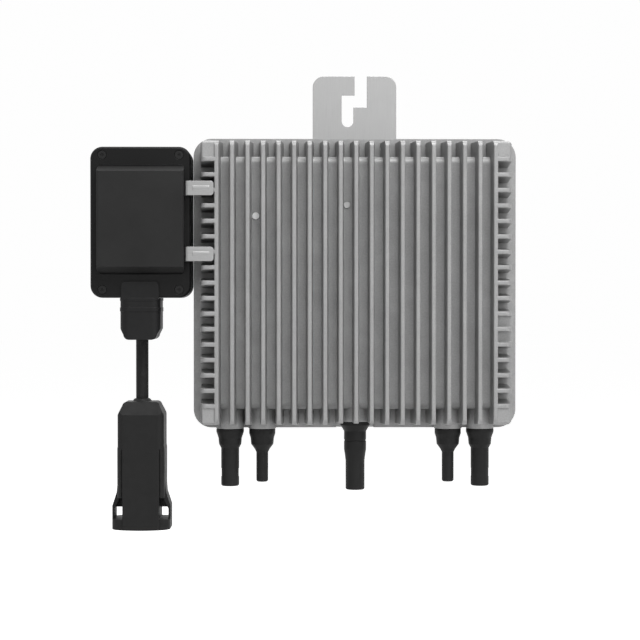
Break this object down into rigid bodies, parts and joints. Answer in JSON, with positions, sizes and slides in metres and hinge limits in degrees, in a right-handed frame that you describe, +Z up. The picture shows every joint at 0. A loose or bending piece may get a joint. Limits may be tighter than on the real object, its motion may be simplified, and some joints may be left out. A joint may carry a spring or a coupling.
{
  "type": "solar microinverter",
  "caption": "Finned die-cast solar microinverter on a slotted hanging bracket, with connectors below and a relay box with short lead and plug at its side.",
  "frame": {"origin": "bolt seat of the hanging slot, at the back face of the bracket", "axes": "+Y out of the back towards the rail or wall, +Z up, +X to the right seen from the finned front"},
  "size_m": [0.3005, 0.045, 0.3222],
  "materials": {
    "cast_aluminium": "satin",
    "plate_aluminium": "satin",
    "bracket_steel": "satin",
    "strap_steel": "satin",
    "screw_steel": "satin",
    "connector_plastic": "matte",
    "box_plastic": "satin",
    "plug_plastic": "satin",
    "cable_rubber": "matte",
    "seal_rubber": "matte",
    "lens_plastic": "gloss",
    "contact_metal": "satin",
    "board": "satin",
    "sheet_plastic": "satin",
    "ferrite": "matte",
    "copper_wire": "satin",
    "can_sleeve": "gloss",
    "film_case": "gloss",
    "chip_black": "matte",
    "thermal_pad": "matte",
    "terminal_plastic": "satin",
    "relay_plastic": "gloss",
    "varistor_coat": "gloss"
  },
  "bodies": {
    "root": {"mounting_bracket": "bracket_steel", "bracket_screws": "screw_steel", "back_plate": "plate_aluminium", "back_plate_screws": "screw_steel", "insulating_sheet": "sheet_plastic", "housing_gasket": "seal_rubber", "front_housing": "cast_aluminium", "status_lens": "lens_plastic", "vent_plug": "lens_plastic", "main_board": "board", "board_screws": "screw_steel", "transformer_cores": "ferrite", "transformer_windings": "copper_wire", "input_capacitors": "can_sleeve", "film_capacitors": "film_case", "choke_core": "ferrite", "choke_winding": "copper_wire", "power_transistors": "chip_black", "thermal_pads": "thermal_pad", "control_board": "board", "status_led": "lens_plastic", "input_terminals": "terminal_plastic", "output_terminals": "terminal_plastic", "dc_shroud_left": "connector_plastic", "dc_shroud_right": "connector_plastic", "dc_nose_left": "connector_plastic", "dc_nose_right": "connector_plastic", "dc_pin_contacts": "contact_metal", "dc_sleeve_contacts": "contact_metal", "dc_connector_nuts": "connector_plastic", "dc_connector_seals": "seal_rubber", "ac_connector": "connector_plastic", "ac_contacts": "contact_metal", "ac_connector_nut": "connector_plastic", "ac_connector_seal": "seal_rubber", "relay_box_base": "box_plastic", "relay_box_cover": "box_plastic", "relay_box_gasket": "seal_rubber", "relay_box_screws": "screw_steel", "relay_board": "board", "relay_board_screws": "screw_steel", "grid_relays": "relay_plastic", "relay_terminals": "terminal_plastic", "relay_varistor": "varistor_coat", "relay_arm_upper": "strap_steel", "relay_arm_lower": "strap_steel", "relay_arm_screws": "screw_steel", "outlet_body": "box_plastic", "outlet_nut": "connector_plastic", "outlet_seal": "seal_rubber", "cable": "cable_rubber", "plug_shell": "plug_plastic", "plug_insert": "connector_plastic", "plug_contacts": "contact_metal", "plug_face_seal": "seal_rubber", "plug_cable_seal": "seal_rubber"}
  },
  "joints": []
}
